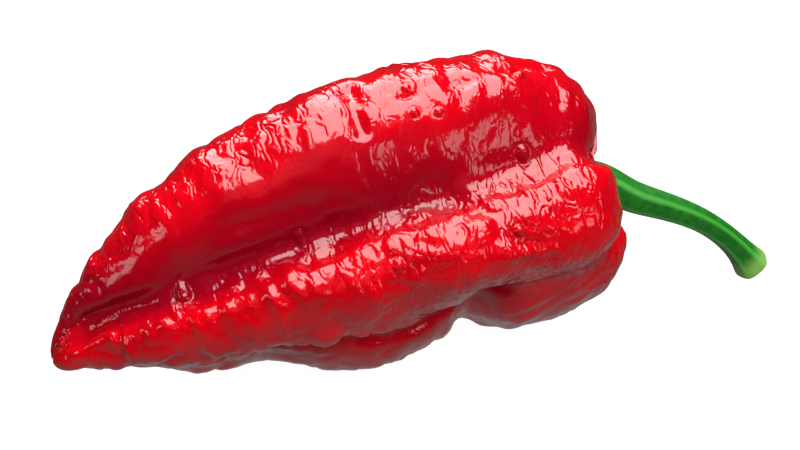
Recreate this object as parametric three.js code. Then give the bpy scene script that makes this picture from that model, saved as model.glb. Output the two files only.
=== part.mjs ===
// Ghost pepper (bhut jolokia), ripe, as picked, lying on its side.
// Millimetres, +Z up. The pod points its blossom end to -X and its stalk to +X, and rests on z = 0.
// The origin is the middle of the pepper's footprint, on the surface that it rests on.
//
// Every piece is a loft: rings of points around a curved centre line, closed at both ends.
// A ring's bearing is counted from +Y (the back) through +Z (the top) to -Y (the front).

import * as THREE from "three";

// ---------- driving dimensions ----------

const POD_SEGMENTS = 64; // points around the pod
const BODY_RINGS = 38; // rings from the blossom end to where the shoulders begin
const SHOULDER_RINGS = 9; // rings from there to the rim of the dimple
const DIMPLE_RINGS = 6; // rings from the rim to the dimple's floor
const TIP_CAP = 4.2; // length of the rounded blossom end
const FURROW_NOTCH = 0.8; // how deeply each furrow notches the shoulder
const SHOULDER_INSET = 0.5; // rim radius as a share of the body's radius
const DIMPLE_DEPTH = 6.5; // rim to dimple floor
const DIMPLE_RADIUS = 4.8; // floor of the dimple, where the calyx sits
const LOBE_BLEND = 24; // higher is a sharper furrow between two lobes
const REST_PATCH = 0.35; // how far the skin gives where the pod's weight rests

const CALYX_SEGMENTS = 40;
const CALYX_RADIUS = 4.3;
const CALYX_TEETH = 5;
const CALYX_TOOTH = 0.2; // how far the edge draws in between two teeth, as a share of the radius

const STALK_SEGMENTS = 20;
const STALK_RINGS = 32;
const STALK_RIBS = 5;
const STALK_RIB = 0.06; // height of a rib as a share of the radius
const STALK_CROWN = 0.4; // how far the cut end bulges
const SEAM_GAP = 0.3; // clearance kept between the pod, the calyx and the stalk

// ---------- the pod's layout ----------

// Centre line of the pod, blossom end first: it climbs steeply, then levels out.
const POD_AXIS = new THREE.CatmullRomCurve3(
  [
    [-0.9, 0, -0.9],
    [4.5, 0, 2.7],
    [15, 0, 6.9],
    [29, 0, 9.6],
    [43, 0, 10.8],
    [53, 0, 10.6],
  ].map((p) => new THREE.Vector3(...p)),
);

// Shares of the body's length at which the lobes' values below are given.
const STATIONS = [0, 0.08, 0.2, 0.35, 0.5, 0.65, 0.8, 1];

// reach: centre line to the lobe's crest. bearing: the crest's, in degrees.
// fullness: radius of the lobe's own round section as a share of its reach.
// rise: how far the lobe's shoulder swells past the end of the body.
const LOBES = [
  {
    name: "top",
    fullness: 0.58,
    rise: 6.0,
    bearing: [80, 85, 91, 92, 88, 84, 78, 72],
    reach: [2.4, 4.1, 7.6, 11.2, 13.8, 15.0, 15.2, 12.4],
  },
  {
    name: "front",
    fullness: 0.51,
    rise: 5.5,
    bearing: [188, 194, 202, 203, 200, 195, 185, 172],
    reach: [2.6, 4.6, 8.6, 11.2, 12.6, 13.2, 13.6, 13.4],
  },
  {
    name: "under",
    fullness: 0.58,
    rise: 8.6,
    bearing: [270, 268, 264, 262, 262, 262, 258, 252],
    reach: [2.6, 4.7, 8.8, 11.8, 14.4, 15.9, 14.7, 14.2],
  },
  {
    name: "back",
    fullness: 0.6,
    rise: 7.0,
    bearing: [345, 342, 332, 320, 314, 312, 312, 316],
    reach: [2.4, 4.6, 8.8, 12.6, 15.6, 16.8, 16.6, 15.6],
  },
];

// Local swells and pinches: at is a share of the body's length and lift is in millimetres.
const SWELLS = [
  { name: "pinch_in_under_lobe", at: 0.815, bearing: 234, along: 2.2, around: 26, lift: -4 },
  { name: "shelf_on_front_lobe", at: 0.68, bearing: 168, along: 14, around: 14, lift: 1.0 },
  { name: "shelf_nearer_the_tip", at: 0.42, bearing: 172, along: 8, around: 12, lift: 0.6 },
  { name: "foot_of_first_bulge", at: 0.56, bearing: 243, along: 5, around: 24, lift: 0.8 },
  { name: "heel_under_the_middle", at: 0.56, bearing: 292, along: 8, around: 22, lift: 1.0 },
  { name: "heel_under_the_crown", at: 0.94, bearing: 279, along: 6, around: 24, lift: 2.8 },
  { name: "dent_before_first_bulge", at: 0.38, bearing: 243, along: 2.6, around: 26, lift: -0.6 },
  { name: "knuckle_by_the_tip", at: 0.245, bearing: 64, along: 2.2, around: 30, lift: 0.7 },
  { name: "knuckle_halfway", at: 0.42, bearing: 64, along: 2.6, around: 28, lift: 0.5 },
  { name: "knuckle_by_the_crown", at: 0.96, bearing: 62, along: 4.0, around: 30, lift: 0.9 },
];

// Calyx from its seat up to the stalk: share of its radius, and height above the seat.
const CALYX_PROFILE = [
  [0.6, 0],
  [0.94, 0.1],
  [1, 0.5],
  [0.88, 0.95],
  [0.7, 1.25],
  [0.58, 1.7],
  [0.53, 2.4],
];

// Centre line of the stalk: out of the dimple, then drooping to its cut end.
const STALK_AXIS = new THREE.CatmullRomCurve3(
  [
    [58.75, 0, 10.3],
    [60.2, -0.3, 9.7],
    [61.6, -1.2, 8.5],
    [65.9, -1.7, 6.8],
    [69.5, -2, 5.1],
    [72.5, -2, 2.9],
    [75.1, -2, 0.5],
    [77.2, -2, -2.1],
  ].map((p) => new THREE.Vector3(...p)),
);

// Radius of the stalk at even steps from the calyx to the cut end.
const STALK_RADII = [2.3, 2.0, 1.75, 1.55, 1.45, 1.4, 1.45, 1.75];

// ---------- small helpers ----------

const radians = THREE.MathUtils.degToRad;

// Smooth value between the stations, for one row of a lobe's numbers.
function alongStations(values, t) {
  const curve = new THREE.CatmullRomCurve3(
    values.map((v, i) => new THREE.Vector3(STATIONS[i], v, 0)),
    false,
    "centripetal",
  );
  let low = 0;
  let high = 1;
  for (let i = 0; i < 24; i++) {
    const mid = (low + high) / 2;
    if (curve.getPoint(mid).x < t) low = mid;
    else high = mid;
  }
  return curve.getPoint((low + high) / 2).y;
}

// Shortest signed angle from b to a, in degrees.
const turn = (a, b) => ((((a - b) % 360) + 540) % 360) - 180;

// A closed loft through rings of equal length, with a pole at each end.
function loft(rings, startPole, endPole) {
  const count = rings[0].length;
  const points = [startPole, ...rings.flat(), endPole];
  const last = points.length - 1;
  const index = [];
  for (let j = 0; j < count; j++) {
    const k = (j + 1) % count;
    index.push(0, 1 + k, 1 + j);
    for (let i = 0; i < rings.length - 1; i++) {
      const a = 1 + i * count + j;
      const b = 1 + i * count + k;
      index.push(a, b, b + count, a, b + count, a + count);
    }
    const end = 1 + (rings.length - 1) * count;
    index.push(end + j, end + k, last);
  }
  const geometry = new THREE.BufferGeometry().setFromPoints(points);
  geometry.setIndex(index);
  return geometry;
}

// ---------- the pod ----------

// Skin at share t of the body's length, before the tip is rounded off: its distance from the
// centre line, and how far the shoulder there rises past the body.
function skinAt(t, bearing, lobesAt) {
  let power = 0;
  let reach = 0;
  let rise = 0;
  for (const lobe of lobesAt) {
    const off = radians(turn(bearing, lobe.bearing));
    const round = lobe.reach * lobe.fullness;
    const out = lobe.reach - round;
    const r = out * Math.cos(off) + Math.sqrt(round ** 2 - (out * Math.sin(off)) ** 2);
    const weight = r ** LOBE_BLEND;
    power += weight;
    reach += weight * lobe.reach;
    rise += weight * lobe.rise;
  }
  const radius = power ** (1 / LOBE_BLEND);
  const length = POD_AXIS.getLength();
  const swell = SWELLS.reduce((total, s) => {
    const along = ((t - s.at) * length) / s.along;
    const around = turn(bearing, s.bearing) / s.around;
    return total + s.lift * Math.exp(-(along ** 2 + around ** 2));
  }, 0);
  return {
    radius: radius + swell,
    rise: (rise / power) * Math.min(1, (radius * power) / reach) ** FURROW_NOTCH,
  };
}

function lobesAtShare(t) {
  return LOBES.map((lobe) => ({
    fullness: lobe.fullness,
    rise: lobe.rise,
    bearing: alongStations(lobe.bearing, t),
    reach: alongStations(lobe.reach, t),
  }));
}

// The centre line's point and the two directions that its rings lie in.
function frameAt(t) {
  const origin = POD_AXIS.getPointAt(t);
  const forward = POD_AXIS.getTangentAt(t);
  const back = new THREE.Vector3(0, 1, 0);
  const up = new THREE.Vector3().crossVectors(forward, back);
  return { origin, forward, back, up };
}

const onRing = (frame, bearing, radius, past = 0) =>
  frame.origin
    .clone()
    .addScaledVector(frame.back, radius * Math.cos(radians(bearing)))
    .addScaledVector(frame.up, radius * Math.sin(radians(bearing)))
    .addScaledVector(frame.forward, past);

// How far past the body's end the dimple's floor lies.
const DIMPLE_FLOOR = Math.max(...LOBES.map((lobe) => lobe.rise)) - DIMPLE_DEPTH;

function podGeometry() {
  const bearings = Array.from({ length: POD_SEGMENTS }, (_, j) => (j * 360) / POD_SEGMENTS);
  const length = POD_AXIS.getLength();
  const rings = [];

  for (let i = 1; i <= BODY_RINGS; i++) {
    const t = (i / BODY_RINGS) ** 1.35; // rings are closer together near the blossom end
    const lobesAt = lobesAtShare(t);
    const frame = frameAt(t);
    const past = Math.min(1, (t * length) / TIP_CAP);
    const cap = Math.sqrt(1 - (1 - past) ** 2);
    rings.push(bearings.map((b) => onRing(frame, b, cap * skinAt(t, b, lobesAt).radius)));
  }

  // The shoulders: a quarter ellipse out to the rim, then another down into the dimple.
  const end = frameAt(1);
  const lobesAt = lobesAtShare(1);
  const skins = bearings.map((b) => skinAt(1, b, lobesAt));
  for (let i = 1; i <= SHOULDER_RINGS; i++) {
    const a = (i / SHOULDER_RINGS) * (Math.PI / 2);
    rings.push(
      bearings.map((b, j) => {
        const { radius, rise } = skins[j];
        const share = SHOULDER_INSET + (1 - SHOULDER_INSET) * Math.cos(a);
        return onRing(end, b, radius * share, rise * Math.sin(a));
      }),
    );
  }
  for (let i = 1; i <= DIMPLE_RINGS; i++) {
    const down = Math.cos((i / DIMPLE_RINGS) * (Math.PI / 2));
    rings.push(
      bearings.map((b, j) => {
        const rim = skins[j].radius * SHOULDER_INSET;
        const out = DIMPLE_RADIUS + (rim - DIMPLE_RADIUS) * down;
        return onRing(end, b, out, DIMPLE_FLOOR + (skins[j].rise - DIMPLE_FLOOR) * down);
      }),
    );
  }
  return loft(rings, frameAt(0).origin, onRing(end, 0, 0, DIMPLE_FLOOR));
}

// ---------- the calyx and the stalk ----------

function calyxGeometry() {
  const end = frameAt(1);
  const seat = DIMPLE_FLOOR + SEAM_GAP;
  const rings = CALYX_PROFILE.map(([share, height]) =>
    Array.from({ length: CALYX_SEGMENTS }, (_, j) => {
      const bearing = (j * 360) / CALYX_SEGMENTS;
      const between = (1 - Math.cos(radians(bearing * CALYX_TEETH))) / 2;
      const scallop = CALYX_TOOTH * between * share ** 4;
      return onRing(end, bearing, CALYX_RADIUS * share * (1 - scallop), seat + height);
    }),
  );
  const top = CALYX_PROFILE.at(-1)[1];
  return loft(rings, onRing(end, 0, 0, seat), onRing(end, 0, 0, seat + top));
}

function stalkGeometry() {
  const frames = STALK_AXIS.computeFrenetFrames(STALK_RINGS - 1);
  const rings = Array.from({ length: STALK_RINGS }, (_, i) => {
    const t = i / (STALK_RINGS - 1);
    const centre = STALK_AXIS.getPointAt(t);
    const step = Math.min(Math.floor(t * (STALK_RADII.length - 1)), STALK_RADII.length - 2);
    const between = t * (STALK_RADII.length - 1) - step;
    const radius = THREE.MathUtils.lerp(STALK_RADII[step], STALK_RADII[step + 1], between);
    return Array.from({ length: STALK_SEGMENTS }, (_, j) => {
      const a = radians((j * 360) / STALK_SEGMENTS);
      const r = radius * (1 + STALK_RIB * Math.cos(a * STALK_RIBS));
      return centre
        .clone()
        .addScaledVector(frames.normals[i], r * Math.cos(a))
        .addScaledVector(frames.binormals[i], r * Math.sin(a));
    });
  });
  const cut = STALK_AXIS.getTangentAt(1).multiplyScalar(STALK_CROWN);
  return loft(rings, STALK_AXIS.getPointAt(0), STALK_AXIS.getPointAt(1).add(cut));
}

// ---------- assembly ----------

const skin = new THREE.MeshStandardMaterial({ color: 0xd0021b, roughness: 0.28, metalness: 0 });
const cap = new THREE.MeshStandardMaterial({ color: 0x4e8a3c, roughness: 0.6, metalness: 0 });
const stem = new THREE.MeshStandardMaterial({ color: 0x1f7d24, roughness: 0.5, metalness: 0 });

const pepper = new THREE.Group();
for (const [name, geometry, material] of [
  ["pod", podGeometry(), skin],
  ["calyx", calyxGeometry(), cap],
  ["stalk", stalkGeometry(), stem],
]) {
  const mesh = new THREE.Mesh(geometry, material);
  mesh.name = name;
  pepper.add(mesh);
}

// The pod gives a little where it rests, so it stands on small flat patches.
const { min, max } = new THREE.Box3().setFromObject(pepper);
const ground = min.z + REST_PATCH;
const skinPoints = pepper.getObjectByName("pod").geometry.attributes.position;
for (let i = 0; i < skinPoints.count; i++) {
  skinPoints.setZ(i, Math.max(skinPoints.getZ(i), ground));
}

// The origin goes to the middle of the footprint, on the ground.
for (const mesh of pepper.children) {
  mesh.geometry.translate(-(min.x + max.x) / 2, -(min.y + max.y) / 2, -ground);
  mesh.geometry.computeVertexNormals();
}

export default pepper;
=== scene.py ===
"""Ripe ghost pepper lying on a pale table: the looks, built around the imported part.

Metres, +Z up, +X from the blossom end to the stalk. Shapes of the skin, the stalk and the calyx
are worked out in millimetres and turned to metres when they are stored.
"""

import math

import bpy
import numpy as np
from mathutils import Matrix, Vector, noise


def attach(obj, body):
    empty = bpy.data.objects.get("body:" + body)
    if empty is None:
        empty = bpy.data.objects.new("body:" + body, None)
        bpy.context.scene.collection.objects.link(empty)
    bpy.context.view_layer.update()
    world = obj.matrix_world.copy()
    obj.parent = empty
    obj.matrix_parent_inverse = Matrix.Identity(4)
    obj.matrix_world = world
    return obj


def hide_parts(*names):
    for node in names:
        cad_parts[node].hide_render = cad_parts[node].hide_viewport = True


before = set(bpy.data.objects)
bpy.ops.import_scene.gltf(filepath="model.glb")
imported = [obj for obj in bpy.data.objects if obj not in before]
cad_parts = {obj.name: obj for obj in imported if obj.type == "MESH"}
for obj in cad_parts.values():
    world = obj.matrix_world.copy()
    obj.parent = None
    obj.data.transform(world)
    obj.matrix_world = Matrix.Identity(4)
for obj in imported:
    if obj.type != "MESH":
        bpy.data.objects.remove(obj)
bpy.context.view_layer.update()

MM = 0.001  # metres

# ---------- small helpers ----------

# Sockets of a Mix node that mixes colours. Its other kinds of socket have the same names.
MIX_SHARE = 0
MIX_FIRST = 6
MIX_SECOND = 7
MIX_RESULT = 2


def linear(hex_colour):
    """An sRGB hex colour as linear red, green, blue and full alpha."""
    channels = [int(hex_colour[i : i + 2], 16) / 255 for i in (1, 3, 5)]
    return [c / 12.92 if c <= 0.04045 else ((c + 0.055) / 1.055) ** 2.4 for c in channels] + [1.0]


def add_node(tree, kind, inputs=(), **settings):
    """Adds a shader node. inputs maps a socket to a value or to the output that feeds it."""
    made = tree.nodes.new("ShaderNode" + kind)
    for name, value in settings.items():
        setattr(made, name, value)
    for key, value in dict(inputs).items():
        if isinstance(value, bpy.types.NodeSocket):
            tree.links.new(value, made.inputs[key])
        else:
            made.inputs[key].default_value = value
    return made


def new_material(name):
    """An empty material and its node tree."""
    made = bpy.data.materials.new(name)
    made.use_nodes = True
    made.node_tree.nodes.clear()
    return made, made.node_tree


def only(piece):
    """Makes this the one selected and active object."""
    bpy.ops.object.select_all(action="DESELECT")
    piece.select_set(True)
    bpy.context.view_layer.objects.active = piece


def smooth_step(low, high, value):
    """0 below low, 1 above high and an S-shaped rise between them."""
    share = np.clip((value - low) / (high - low), 0, 1)
    return share * share * (3 - 2 * share)


def hill(distance, reach):
    """1 at no distance, falling away as a bell that is 1/e high at the reach."""
    return np.exp(-((distance / reach) ** 2))


def turn(a, b):
    """Shortest signed angle from b to a, in degrees."""
    return (a - b + 180) % 360 - 180


NOISE_SHIFT = 17.3  # grains between the patch of noise that one seed reads and the next one's


def noise_at(points, grain, seed):
    """Smooth noise of the given grain in mm, from about -1 to 1, at each point."""
    shifted = points / np.asarray(grain, float) + seed * NOISE_SHIFT
    return np.array([noise.noise(Vector(p)) for p in shifted])


def subdivide(piece, levels):
    """Rounds a piece off with smooth subdivision, applied."""
    only(piece)
    made = piece.modifiers.new("rounder", "SUBSURF")
    made.levels = made.render_levels = levels
    bpy.ops.object.modifier_apply(modifier=made.name)


def mesh_arrays(mesh):
    """The places (mm) and normals of a mesh's vertices."""
    place = np.empty(len(mesh.vertices) * 3)
    mesh.vertices.foreach_get("co", place)
    normal = np.empty(len(mesh.vertices) * 3)
    mesh.vertices.foreach_get("normal", normal)
    return place.reshape(-1, 3) / MM, normal.reshape(-1, 3)


def add_attribute(mesh, name, values):
    """Stores a value for each vertex, for the piece's material to read."""
    mesh.attributes.new(name, "FLOAT", "POINT").data.foreach_set("value", values)


def select_vertices(mesh, chosen):
    """Selects these vertices and nothing else, ready for edit mode."""
    mesh.vertices.foreach_set("select", chosen)
    for part in (mesh.edges, mesh.polygons):
        part.foreach_set("select", [False] * len(part))


# ---------- camera and light ----------

VIEW_AZIMUTH = math.radians(-18)
VIEW_ELEVATION = math.radians(30)
VIEW_TARGET = Vector((-2.5, -2.7, 15.9)) * MM
VIEW_DISTANCE = 0.2778  # metres
LENS_MM = 120


def place_camera():
    """A long lens that looks down at the pepper's front, from a little towards its blossom end."""
    towards_camera = Vector(
        (
            math.sin(VIEW_AZIMUTH) * math.cos(VIEW_ELEVATION),
            -math.cos(VIEW_AZIMUTH) * math.cos(VIEW_ELEVATION),
            math.sin(VIEW_ELEVATION),
        )
    )
    camera = bpy.data.objects.new("camera", bpy.data.cameras.new("camera"))
    camera.data.lens = LENS_MM
    camera.data.clip_start = 0.01
    camera.data.clip_end = 20
    camera.location = VIEW_TARGET + towards_camera * VIEW_DISTANCE
    camera.rotation_mode = "QUATERNION"
    camera.rotation_quaternion = (-towards_camera).to_track_quat("-Z", "Y")
    bpy.context.scene.collection.objects.link(camera)
    bpy.context.scene.camera = camera


def softbox(name, place, aim, width, depth, radiance):
    """A rectangular diffused lamp; its power follows from how bright its face is."""
    lamp = bpy.data.lights.new(name, "AREA")
    lamp.shape = "RECTANGLE"
    lamp.size, lamp.size_y = width, depth
    lamp.energy = radiance * math.pi * width * depth
    made = bpy.data.objects.new(name, lamp)
    made.location = place
    made.rotation_mode = "QUATERNION"
    made.rotation_quaternion = (Vector(aim) - Vector(place)).to_track_quat("-Z", "Y")
    made.visible_camera = False
    bpy.context.scene.collection.objects.link(made)
    return made


# Lamps: place and aim, width and depth of the face, and how bright it is. Metres.
LAMPS = {
    # The big overhead box reaches far back, so it shows on every surface that faces up or away.
    "overhead_box": ((0.11, 0.57, 0.7), (0.11, 0.57, 0), 0.7, 1.9, 8.4),
    "front_card": ((0.447, -0.638, 0.2), (0, 0, 0.02), 0.32, 0.26, 3.2),
    "left_card": ((-0.76, -0.134, 0.222), (-0.03, 0, 0.01), 0.34, 0.15, 4.0),
    "front_fill": ((-0.1, -0.66, 0.52), (0, 0, 0.01), 0.6, 0.6, 9.5),
}


def light_studio():
    """The four lamps. The wide fill behind the camera lifts the shade and leaves no glint."""
    lamps = {name: softbox(name, *settings) for name, settings in LAMPS.items()}
    lamps["front_fill"].visible_glossy = False


ROOM_GLOW = 0.03  # strength of the surroundings from the horizon up
TABLE_GLOW = 0.34  # and straight down
# How high a direction points, from -1 straight down, where the table's glow starts to fade and ends.
TABLE_FADES = (-0.75, -0.15)


def surround_studio():
    """A dark room above the horizon, and the light of a white table below it."""
    world = bpy.data.worlds.new("studio")
    world.use_nodes = True
    background = world.node_tree.nodes["Background"]
    outward = add_node(world.node_tree, "TexCoord")
    height = add_node(world.node_tree, "SeparateXYZ", {0: outward.outputs["Generated"]})
    glow = add_node(
        world.node_tree,
        "MapRange",
        {
            "Value": height.outputs["Z"],
            "From Min": TABLE_FADES[0],
            "From Max": TABLE_FADES[1],
            "To Min": TABLE_GLOW,
            "To Max": ROOM_GLOW,
        },
    )
    world.node_tree.links.new(glow.outputs[0], background.inputs["Strength"])
    background.inputs["Color"].default_value = linear("#FFFFFF")
    bpy.context.scene.world = world


place_camera()
light_studio()
surround_studio()
bpy.context.scene.view_settings.view_transform = "Standard"

# ---------- the pod's own coordinates ----------

AXIS_Y = -0.31  # mm, the centre line's side-to-side place
AXIS_TOP_X = 6.0  # mm, where the arched centre line is highest
AXIS_TOP_Z = 16.7  # mm, how high it is there
AXIS_BEND = 0.00565  # per mm
AXIS_LEAN = 0.8  # how far a ring leans with the centre line's slope
AXIS_SLOPES = (-0.3, 0.6)  # slopes past which a ring leans no further
BLOSSOM_X = -40  # mm, where places along the pod are counted from
LEAST_RADIUS = 1  # mm, kept at the very ends so that a turn round the pod still has a length


def pod_coordinates(points):
    """Place along the pod, bearing in degrees, distance across and distance up, from mm.

    Bearings run from the back (0) over the top (90) to the front (180) and the underside (270).
    """
    x, y, z = points.T
    slope = 2 * AXIS_BEND * (AXIS_TOP_X - x)
    up = z - (AXIS_TOP_Z - AXIS_BEND * (x - AXIS_TOP_X) ** 2)
    across = y - AXIS_Y
    along = x + up * np.clip(slope, *AXIS_SLOPES) * AXIS_LEAN - BLOSSOM_X
    return along, np.degrees(np.arctan2(up, across)) % 360, across, up


def off_path(path, along, bearing, radius):
    """Distance in mm from each point of the skin to a path of (along, bearing) steps."""
    nearest = np.full(len(along), np.inf)
    for (a0, b0), (a1, b1) in zip(path, path[1:]):
        step = np.stack([np.full(len(along), a1 - a0), np.radians(b1 - b0) * radius])
        out = np.stack([along - a0, np.radians(turn(bearing, b0)) * radius])
        share = np.clip((step * out).sum(0) / (step * step).sum(0), 0, 1)
        nearest = np.minimum(nearest, np.hypot(*(out - share * step)))
    return nearest


def spot_on(points, at, facing):
    """The point of the skin at this place along the pod and bearing."""
    along, bearing, across, up = pod_coordinates(points)
    off = (along - at) ** 2 + (np.radians(turn(bearing, facing)) * np.hypot(across, up)) ** 2
    return points[np.argmin(off)]


# ---------- the pod's regions and marks ----------

# Where a region of the skin fades in or out. Round the pod these are bearings in degrees, except
# LOBE_FADE, which is the degrees from the long furrow to a full lobe on either side of it.
LOBE_FADE = 7
FRONT_LOBE_ENDS = (200, 232)
PUCKERS_END = (182, 206)
TOP_LOBE_STARTS = (30, 55)
FLANK_STARTS = (98, 112)
UNDER_LOBE_STARTS = (205, 235)
UNDER_LOBE_ENDS = (320, 345)
# Along the pod they are in mm.
TIP_ENDS = (3, 8)
CROWN_HALF_STARTS = (24, 34)
LEAN_STARTS = (43, 52)
SHOULDER_STARTS = (48, 57)
FURROW_OPENS = (36, 50)

# Where the long furrow between the top and the front lobe runs: place along and bearing.
FURROW = [(5, 118), (11, 141), (16, 148), (29, 147), (39, 145), (44, 141), (49, 133), (57, 123)]

# Where the front lobe's lower edge overhangs the under lobe.
OVERHANG = [(20, 213), (34, 220), (42, 217), (47, 212)]
UNDER_THE_OVERHANG = 215  # the bearing past which the skin lies below that edge

# Slow swells of the whole skin: grain and height in mm, and a seed.
SWELLS = [(9.0, 0.45, 1), (4.2, 0.3, 2)]

# Larger shapes of the skin: place along the pod and bearing, reach along (mm) and around
# (degrees), and lift in mm.
FORMS = [
    ("narrow_blossom_end", 3.2, 95, 2.6, 55, -0.8),
    ("shoulder_of_the_under_lobe", 60, 232, 5, 24, -0.8),
    ("crest_of_the_top_lobe", 40, 96, 16, 13, 0.4),
    ("shelf_of_the_front_lobe", 40, 178, 15, 14, 1.1),
]

# The hollow in the top lobe's flank, beside which the front lobe stands up. It begins and ends in
# degrees from the long furrow, and its middle along the pod, its reach and its depth are in mm.
HOLLOW_STARTS = (-38, -14)
HOLLOW_ENDS = (0, 8)
HOLLOW_AT = 30
HOLLOW_REACH = 24
HOLLOW_DEPTH = 0.8

# Creases: a path of places along the pod (mm) and bearings, half width and depth in mm.
CREASES = [
    ("foot_of_the_long_furrow", [(at, facing + 8) for at, facing in FURROW], 1.3, 1.0),
    ("fold_over_the_furrow", [(20, 126), (26, 132), (31, 134)], 1.1, 0.2),
    ("groove_on_the_top_lobe", [(39, 99), (42, 98), (46, 95)], 0.5, 0.45),
    ("groove_by_the_crown", [(49, 90), (54, 78)], 0.6, 0.5),
    ("dent_on_the_top_lobe", [(34.6, 86), (35, 96), (34.4, 109)], 0.8, 0.75),
    ("overhang_of_the_front_lobe", OVERHANG, 0.9, 0.9),
    ("valley_on_the_front_lobe", [(42, 151), (44.5, 161), (45, 169), (50, 178)], 0.9, 0.55),
]
WARP_GRAIN = 3.0  # mm, of the noise that makes the creases wander
WARP_SEED = 3
CREASE_WANDER_ALONG = 0.6  # mm
CREASE_WANDER_ROUND = 4  # degrees
CRINKLE_WANDER = (1.1, 0.7, -0.7)  # mm, along, across and up
CRINKLE_LEAN = 0.8  # mm along for each mm round, on the front lobe near the crown
LEAN_PIVOT = 150  # the bearing that the lean turns about

# Crinkles: height and grain in mm, coarse and fine, each along, across and up.
PAD_HEIGHT = 0.58
PAD_GRAINS = ((1.8, 2.9, 2.9), (1.1, 1.5, 1.5))
PAD_SEED = 4
BAND_HEIGHT = 0.8
BAND_HEIGHT_ADDED_IN_FRONT = 0.4
BAND_GRAINS = ((3.0, 8.0, 8.0), (1.4, 3.0, 3.0))
BAND_SEED = 6
PILLOW_MEAN = 0.3  # the usual height of the pillows, taken off so that they don't swell the pod
FURROW_BARE = 1.8  # mm on either side of the furrow's line, where the bands fade out

# Pimples: place along the pod, bearing, radius and height in mm.
PIMPLES = [
    (34, 172, 0.5, 0.34),
    (50.3, 93, 0.5, 0.36),
    (39.6, 96, 0.42, 0.26),
    (39.5, 107, 0.42, 0.26),
    (41.6, 108, 0.42, 0.26),
    (37.2, 150, 0.45, 0.31),
    (46.3, 167, 0.5, 0.34),
    (46.8, 176, 0.5, 0.34),
    (14.2, 146, 0.7, 0.44),
    (49.6, 129, 0.6, 0.44),
    (26, 147, 0.45, 0.29),
]
BLOSSOM_SCAR = (1.9, 115, 0.75, 0.3)
MOAT_REACH = 0.3  # of a pimple's radius
FINE_MESH_REACH = 1.3  # mm round a pimple

RESTS_AT = 0.03  # mm, the pod's lowest skin, just clear of the table

# ---------- the pod's relief ----------


class Skin:
    """The pod's vertices in its own coordinates, and how far each belongs to each region (0 to 1)."""

    def __init__(self, mesh):
        self.points, self.normals = mesh_arrays(mesh)
        self.along, self.bearing, self.across, self.up = pod_coordinates(self.points)
        self.radius = np.maximum(np.hypot(self.across, self.up), LEAST_RADIUS)
        self.past_furrow = self.bearing - np.interp(self.along, *np.transpose(FURROW))
        self.from_furrow = off_path(FURROW, self.along, self.bearing, self.radius)
        self.warp = noise_at(self.points, WARP_GRAIN, WARP_SEED)
        self.mark_lobes()
        self.mark_stretches()

    def mark_lobes(self):
        """The lobes round the pod. The flank is the part of the top lobe that faces the front."""
        past_front = smooth_step(*FRONT_LOBE_ENDS, self.bearing)
        self.front = smooth_step(0, LOBE_FADE, self.past_furrow) * (1 - past_front)
        before_furrow = 1 - smooth_step(-LOBE_FADE, 0, self.past_furrow)
        self.top = before_furrow * smooth_step(*TOP_LOBE_STARTS, self.bearing)
        self.flank = self.top * smooth_step(*FLANK_STARTS, self.bearing)
        past_under = smooth_step(*UNDER_LOBE_ENDS, self.bearing)
        self.under = smooth_step(*UNDER_LOBE_STARTS, self.bearing) * (1 - past_under)

    def mark_stretches(self):
        """The regions from the blossom end to the crown, and where the front lobe puckers."""
        self.by_the_tip = 1 - smooth_step(*TIP_ENDS, self.along)
        self.by_the_crown = smooth_step(*CROWN_HALF_STARTS, self.along)
        self.shoulder = smooth_step(*SHOULDER_STARTS, self.along)
        self.puckered = self.front * self.by_the_crown * (1 - smooth_step(*PUCKERS_END, self.bearing))


def broad_forms(skin):
    """Swells that keep the lobes from looking turned on a lathe, the FORMS and the flank's hollow."""
    swell = sum(height * noise_at(skin.points, grain, seed) for grain, height, seed in SWELLS)
    lift = (1 - 0.7 * skin.by_the_tip) * swell
    for _, at, facing, reach, spread, height in FORMS:
        lift += height * hill(skin.along - at, reach) * hill(turn(skin.bearing, facing), spread)
    hollow = smooth_step(*HOLLOW_STARTS, skin.past_furrow) * (1 - smooth_step(*HOLLOW_ENDS, skin.past_furrow))
    return lift - HOLLOW_DEPTH * hollow * hill(skin.along - HOLLOW_AT, HOLLOW_REACH)


def pillows(places, grains, seed):
    """Rounded pillows with sharp creases between them, fine ones (from the next seed) on coarse ones."""
    coarse, fine = grains
    ridged = np.abs(noise_at(places, coarse, seed)) + 0.5 * np.abs(noise_at(places, fine, seed + 1))
    return ridged - PILLOW_MEAN


def crinkles(skin):
    """Deep pads on the front lobe by the crown, and broader bands round the rest of the pod.

    The creases between them run round the pod, and lean over by the crown on the front lobe.
    """
    lean = CRINKLE_LEAN * skin.front * smooth_step(*LEAN_STARTS, skin.along)
    leant = skin.along - lean * np.radians(skin.bearing - LEAN_PIVOT) * skin.radius
    places = np.stack([leant, skin.across, skin.up], 1) + skin.warp[:, None] * CRINKLE_WANDER
    pads = skin.puckered * (1 - 0.8 * skin.shoulder) * pillows(places, PAD_GRAINS, PAD_SEED)

    # The bands fade where the pads take over, on the smoother lobes, at the tip and in the furrow.
    crown_half_calm = skin.by_the_crown * np.maximum(0.8 * skin.front, 0.2 * skin.top)
    lobes_calm = np.maximum(0.4 * skin.under, 0.75 * skin.flank)
    banded = 1 - np.maximum(crown_half_calm, lobes_calm)
    banded *= 1 - hill(skin.from_furrow, FURROW_BARE)
    banded *= (1 - 0.5 * skin.by_the_tip) * (BAND_HEIGHT + BAND_HEIGHT_ADDED_IN_FRONT * skin.front)
    return PAD_HEIGHT * pads + banded * pillows(places, BAND_GRAINS, BAND_SEED)


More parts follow.
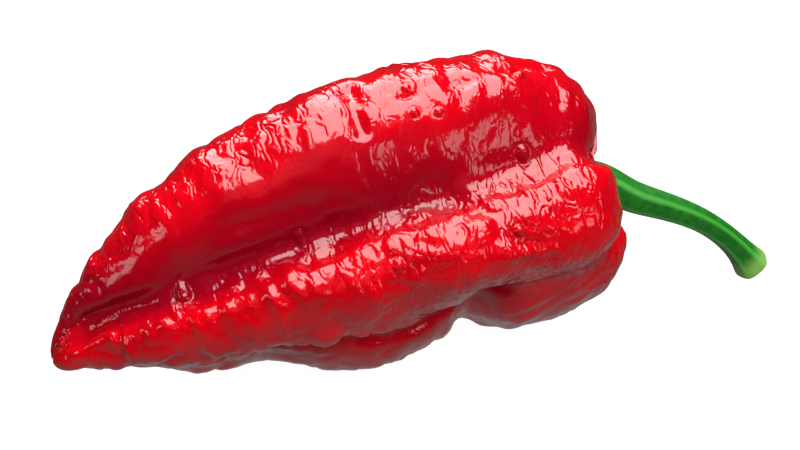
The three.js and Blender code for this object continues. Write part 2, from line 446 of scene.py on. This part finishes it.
def creases(skin):
    """The named creases, each wandering a little from its path."""
    along = skin.along + CREASE_WANDER_ALONG * skin.warp
    bearing = skin.bearing + CREASE_WANDER_ROUND * skin.warp
    lift = np.zeros(len(skin.points))
    for _, path, half_width, depth in CREASES:
        lift -= depth * hill(off_path(path, along, bearing, skin.radius), half_width)
    return lift


def button(off, width, moat_depth, moat_at):
    """A flat-topped bump, 1 high, in a narrow moat.

    The moat's depth is a share of that height, and the other sizes are shares of the radius.
    """
    return np.exp(-((off / width) ** 4)) - moat_depth * hill(off - moat_at, MOAT_REACH)


def pimples(skin, spots):
    """The pimples, and the scar that the flower left. The last spot is the scar's."""
    lift = np.zeros(len(skin.points))
    for (_, _, size, height), spot in zip(PIMPLES, spots):
        off = np.linalg.norm(skin.points - spot, axis=1) / size
        lift += height * button(off, width=1, moat_depth=0.25, moat_at=1.4)
    _, _, size, height = BLOSSOM_SCAR
    off = np.linalg.norm(skin.points - spots[-1], axis=1) / size
    return lift + height * button(off, width=1.6, moat_depth=0.8, moat_at=1)


def crinkle_strength(skin):
    """How deep the skin's finest creases are, for its material."""
    everywhere = 0.25
    top_lobe_by_the_tip = 0.4 * (skin.top - skin.flank) * (1 - skin.by_the_crown)
    crown_half = 0.2 * skin.by_the_crown
    pads = 0.25 * skin.puckered * (1 - skin.shoulder)
    smoother = (1 - 0.8 * skin.under) * (1 - 0.6 * skin.flank)
    return (everywhere + top_lobe_by_the_tip + crown_half + pads) * smoother


def painted_furrow_shade(skin):
    """Painted shade: how far the base colour is darkened by the long furrow and under the front lobe's
    overhang, in place of the shade that falls there.
    """
    furrow_reach = np.where(skin.past_furrow < 0, 6.5, 1.6)  # mm, up the top lobe and the front lobe
    furrow = hill(skin.from_furrow, furrow_reach) * (1 - 0.35 * smooth_step(*FURROW_OPENS, skin.along))
    overhang_reach = np.where(skin.bearing > UNDER_THE_OVERHANG, 4.0, 1.0)  # mm, below it and above it
    overhang = hill(off_path(OVERHANG, skin.along, skin.bearing, skin.radius), overhang_reach)
    return np.maximum(furrow, 0.6 * overhang)


# ---------- the pod ----------

SAME_PLACE = 1e-6  # metres, within which two corners of the loose triangles are one


def copy_node(name, piece_name):
    """A merged copy of a CAD node as a new piece, with quads where there were triangle pairs."""
    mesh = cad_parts[name].data.copy()
    piece = bpy.data.objects.new(piece_name, mesh)
    bpy.context.scene.collection.objects.link(piece)
    mesh.materials.clear()
    only(piece)
    bpy.ops.object.mode_set(mode="EDIT")
    bpy.ops.mesh.select_all(action="SELECT")
    bpy.ops.mesh.remove_doubles(threshold=SAME_PLACE)
    bpy.ops.mesh.tris_convert_to_quads(face_threshold=math.pi, shape_threshold=math.pi)
    bpy.ops.object.mode_set(mode="OBJECT")
    return piece


def cut_finer(piece, points, spots):
    """Cuts the mesh finer round each spot, where a pimple grows."""
    nearest = np.min([np.linalg.norm(points - spot, axis=1) for spot in spots], axis=0)
    select_vertices(piece.data, nearest < FINE_MESH_REACH)
    only(piece)
    bpy.ops.object.mode_set(mode="EDIT")
    bpy.ops.mesh.select_mode(type="VERT")
    bpy.ops.mesh.subdivide(number_cuts=2, smoothness=0)
    bpy.ops.object.mode_set(mode="OBJECT")


def shape_pod():
    """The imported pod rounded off, with its relief raised along its normals."""
    piece = copy_node("pod", "pod_skin")
    subdivide(piece, 2)
    points, _ = mesh_arrays(piece.data)
    spots = [spot_on(points, at, facing) for at, facing, _, _ in PIMPLES + [BLOSSOM_SCAR]]
    cut_finer(piece, points, spots)

    skin = Skin(piece.data)
    lift = broad_forms(skin) + crinkles(skin) + creases(skin) + pimples(skin, spots)
    add_attribute(piece.data, "crinkle", crinkle_strength(skin))
    # Painted shade by the furrow and under the overhang, stored for the skin's base colour to read.
    add_attribute(piece.data, "painted_shade", painted_furrow_shade(skin))
    places = skin.points + skin.normals * lift[:, None]
    places[:, 2] = np.maximum(places[:, 2], RESTS_AT)
    piece.data.vertices.foreach_set("co", (places * MM).ravel())
    piece.data.update()
    bpy.ops.object.shade_smooth()
    return piece


def skin_colour(tree, where):
    """Deep red in two close shades, with painted shade that darkens it by the long furrow and under the front
    lobe's overhang.
    """
    blotch = add_node(
        tree, "TexNoise", {"Vector": where.outputs["Object"], "Scale": 1 / (6 * MM), "Detail": 3}
    )
    red = add_node(tree, "ValToRGB", {"Fac": blotch.outputs["Fac"]})
    for element, position, hex_colour in zip(red.color_ramp.elements, (0.35, 0.65), ("#90000A", "#A4000A")):
        element.position = position
        element.color = linear(hex_colour)
    # Painted shade: the base colour goes to a darker red, #6C000E, by the furrow and under the overhang.
    painted_shade = add_node(tree, "Attribute", attribute_name="painted_shade")
    return add_node(
        tree,
        "Mix",
        {MIX_SHARE: painted_shade.outputs["Fac"], MIX_FIRST: red.outputs["Color"], MIX_SECOND: linear("#6C000E")},
        data_type="RGBA",
    )


def skin_creases(tree, where):
    """Fine creases between the pads of the skin, narrower than the mesh can carry."""
    crinkle = add_node(tree, "Attribute", attribute_name="crinkle")
    stretched = add_node(
        tree,
        "Mapping",
        {"Vector": where.outputs["Object"], "Scale": (1 / (1.3 * MM), 1 / (2.3 * MM), 1 / (2.3 * MM))},
    )
    web = add_node(
        tree, "TexNoise", {"Vector": stretched.outputs[0], "Scale": 1, "Detail": 1, "Distortion": 0.8}
    )
    centred = add_node(tree, "Math", {0: web.outputs["Fac"], 1: 0.5}, operation="SUBTRACT")
    folded = add_node(tree, "Math", {0: centred.outputs[0]}, operation="ABSOLUTE")
    pad = add_node(tree, "MapRange", {"Value": folded.outputs[0], "From Min": 0, "From Max": 0.2})
    crease = add_node(tree, "Math", {0: pad.outputs[0], 1: crinkle.outputs["Fac"]}, operation="MULTIPLY")
    return add_node(tree, "Bump", {"Height": crease.outputs[0], "Strength": 1, "Distance": 0.16 * MM})


def skin_grit(tree, where, under):
    """The cuticle's own faint grain, over the bump that comes before it."""
    grit = add_node(
        tree, "TexNoise", {"Vector": where.outputs["Object"], "Scale": 1 / (0.5 * MM), "Detail": 2}
    )
    return add_node(
        tree,
        "Bump",
        {
            "Height": grit.outputs["Fac"],
            "Strength": 1,
            "Distance": 0.025 * MM,
            "Normal": under.outputs["Normal"],
        },
    )


def ripe_pepper_skin():
    """Waxy cuticle over deep red flesh: mirror-like highlights that break up on the crinkles."""
    material, tree = new_material("ripe_pepper_skin")
    where = add_node(tree, "TexCoord")
    colour = skin_colour(tree, where)
    relief = skin_grit(tree, where, skin_creases(tree, where))
    shader = add_node(
        tree,
        "BsdfPrincipled",
        {
            "Base Color": colour.outputs[MIX_RESULT],
            "Roughness": 0.12,
            "IOR": 1.46,
            "Subsurface Weight": 0.2,
            "Subsurface Radius": (1.0, 0.12, 0.08),
            "Subsurface Scale": 1.0 * MM,
            "Normal": relief.outputs["Normal"],
        },
    )
    add_node(tree, "OutputMaterial", {"Surface": shader.outputs["BSDF"]})
    return material


pod = shape_pod()
pod.data.materials.append(ripe_pepper_skin())
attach(pod, "root")
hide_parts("pod")

# ---------- calyx and stalk ----------

# Stations along the stalk's centre line, with its foot in the calyx and a swollen cut end.
# A station here and in CALYX is x, y, z and radius, in mm.
STALK = [
    (19, -0.31, 16.35, 2.6),
    (20.4, -0.38, 16.1, 2.35),
    (21.9, -0.78, 15.4, 2.2),
    (23.6, -1.48, 14.2, 2.08),
    (25.6, -1.83, 13.35, 1.92),
    (28, -2.08, 12.35, 1.76),
    (30.4, -2.28, 11.15, 1.64),
    (32.6, -2.31, 9.75, 1.54),
    (34.6, -2.31, 8.05, 1.52),
    (36.2, -2.31, 6.4, 1.6),
    (37.4, -2.31, 4.9, 1.8),
    (38.2, -2.31, 3.8, 2.15),
    (38.55, -2.31, 3.3, 2.3),
    (38.75, -2.31, 3, 2.1),
    (38.7, -2.31, 3.1, 1.3),
]
STALK_CORNERS = 10
STALK_GROOVE_SHARE = 0.84  # of the radius, in the grooves between the ribs
CUT_FACE = STALK[-2][:3]
CUT_PALES = (1.4, 3.2)  # mm from the cut face, from fully pale to fully green

# The calyx is a small toothed cap pressed into the dimple of the crown.
CALYX = [
    (16.45, -0.31, 16.4, 3.2),
    (16.6, -0.31, 16.4, 4.3),
    (16.95, -0.31, 16.4, 4.55),
    (17.35, -0.31, 16.4, 4),
    (17.7, -0.31, 16.4, 3.2),
    (18.3, -0.31, 16.4, 2.75),
    (19.4, -0.31, 16.35, 2.55),
    (19.6, -0.31, 16.3, 2.2),
]
CALYX_CORNERS = 20
CALYX_GAP_SHARE = 0.8  # of the radius, in the gaps between the teeth


def pitches_along(places):
    """The centre line's pitch at each station, from the stations on either side of it."""
    pitches = []
    for i in range(len(places)):
        way = places[min(i + 1, len(places) - 1)] - places[max(i - 1, 0)]
        pitches.append(math.atan2(way.z, way.x))
    return pitches


def lay_ring(name, corners, radius, place, pitch):
    """A flat disc of so many corners, facing along the centre line."""
    bpy.ops.object.select_all(action="DESELECT")
    bpy.ops.mesh.primitive_circle_add(
        vertices=corners,
        radius=radius,
        fill_type="NGON",
        location=place,
        rotation=(0, math.pi / 2 - pitch, 0),
    )
    piece = bpy.context.object
    piece.name = name
    bpy.ops.object.transform_apply(location=True, rotation=True, scale=True)
    return piece


def grow(name, corners, stations, every, first, share):
    """Extrudes a ring from station to station, each (x, y, z, radius) in mm, and caps both ends.

    One corner of the ring in every so many, counted from the first, is drawn in to that share
    of the radius. The attribute "ridge" is 0 on those corners and 1 on the others.
    """
    places = [Vector(station[:3]) * MM for station in stations]
    pitches = pitches_along(places)
    piece = lay_ring(name, corners, stations[0][3] * MM, places[0], pitches[0])
    drawn_in = [corner % every == first for corner in range(corners)]
    add_attribute(piece.data, "ridge", [0.0 if groove else 1.0 for groove in drawn_in])
    select_vertices(piece.data, drawn_in)
    bpy.ops.object.mode_set(mode="EDIT")
    bpy.ops.mesh.select_mode(type="VERT")
    bpy.ops.transform.resize(value=(share,) * 3, center_override=places[0])
    bpy.ops.mesh.select_all(action="SELECT")
    for i in range(1, len(places)):
        growth = stations[i][3] / stations[i - 1][3]
        bpy.ops.mesh.extrude_region_move(TRANSFORM_OT_translate={"value": places[i] - places[i - 1]})
        bpy.ops.transform.rotate(
            value=pitches[i] - pitches[i - 1], orient_axis="Y", center_override=places[i]
        )
        bpy.ops.transform.resize(value=(growth,) * 3, center_override=places[i])
    bpy.ops.mesh.select_all(action="SELECT")
    bpy.ops.mesh.normals_make_consistent(inside=False)
    bpy.ops.object.mode_set(mode="OBJECT")
    subdivide(piece, 3)
    bpy.ops.object.shade_smooth()
    return piece


def stalk_colour(tree, speck):
    """Green with paler ribs and specks, fading to the dry cut end."""
    rib = add_node(tree, "Attribute", attribute_name="ridge")
    end = add_node(tree, "Attribute", attribute_name="cut")
    edge = add_node(tree, "MapRange", {"Value": rib.outputs["Fac"], "From Min": 0.55, "From Max": 0.9})
    specks = add_node(
        tree,
        "MapRange",
        {"Value": speck.outputs["Fac"], "From Min": 0.4, "From Max": 0.75, "To Max": 0.55},
    )
    colour = {MIX_FIRST: linear("#064A08")}
    for share, hex_colour in (
        (edge.outputs[0], "#2C7A22"),
        (specks.outputs[0], "#246A1C"),
        (end.outputs["Fac"], "#6A9040"),
    ):
        colour.update({MIX_SHARE: share, MIX_SECOND: linear(hex_colour)})
        mixed = add_node(tree, "Mix", colour, data_type="RGBA")
        colour = {MIX_FIRST: mixed.outputs[MIX_RESULT]}
    return mixed


def fresh_green_stalk():
    """Living plant stem: a satin skin with paler ribs and a dry, pale cut end."""
    material, tree = new_material("fresh_green_stalk")
    where = add_node(tree, "TexCoord")
    speck = add_node(
        tree, "TexNoise", {"Vector": where.outputs["Object"], "Scale": 1 / (0.8 * MM), "Detail": 4}
    )
    colour = stalk_colour(tree, speck)
    relief = add_node(
        tree, "Bump", {"Height": speck.outputs["Fac"], "Strength": 0.5, "Distance": 0.15 * MM}
    )
    shader = add_node(
        tree,
        "BsdfPrincipled",
        {
            "Base Color": colour.outputs[MIX_RESULT],
            "Roughness": 0.42,
            "IOR": 1.45,
            "Subsurface Weight": 0.15,
            "Subsurface Radius": (0.3, 1.0, 0.2),
            "Subsurface Scale": 0.6 * MM,
            "Normal": relief.outputs["Normal"],
        },
    )
    add_node(tree, "OutputMaterial", {"Surface": shader.outputs["BSDF"]})
    return material


green = fresh_green_stalk()

stalk = grow("stalk_fresh", STALK_CORNERS, STALK, every=2, first=1, share=STALK_GROOVE_SHARE)
from_cut = np.linalg.norm(mesh_arrays(stalk.data)[0] - np.array(CUT_FACE), axis=1)
add_attribute(stalk.data, "cut", 1 - smooth_step(*CUT_PALES, from_cut))
stalk.data.materials.append(green)
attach(stalk, "root")
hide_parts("stalk")

calyx = grow("calyx_fresh", CALYX_CORNERS, CALYX, every=4, first=2, share=CALYX_GAP_SHARE)
calyx.data.materials.append(green)
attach(calyx, "root")
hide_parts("calyx")

# ---------- floor ----------


def opal_light_table():
    """Opal sheet lit from behind: it glows, so the pepper throws hardly any shadow on it."""
    material, tree = new_material("opal_light_table")
    shader = add_node(
        tree,
        "BsdfPrincipled",
        {
            "Base Color": linear("#404040"),
            "Roughness": 0.6,
            "Emission Color": linear("#FFFFFF"),
            "Emission Strength": 0.97,
        },
    )
    add_node(tree, "OutputMaterial", {"Surface": shader.outputs["BSDF"]})
    return material


bpy.ops.object.select_all(action="DESELECT")
bpy.ops.mesh.primitive_plane_add(size=8)
floor = bpy.context.object
floor.name = "table_top"
floor.data.materials.append(opal_light_table())
# The pepper is lit from below by the world's lower half, which is dimmer than the table looks.
floor.visible_diffuse = floor.visible_glossy = floor.visible_shadow = False
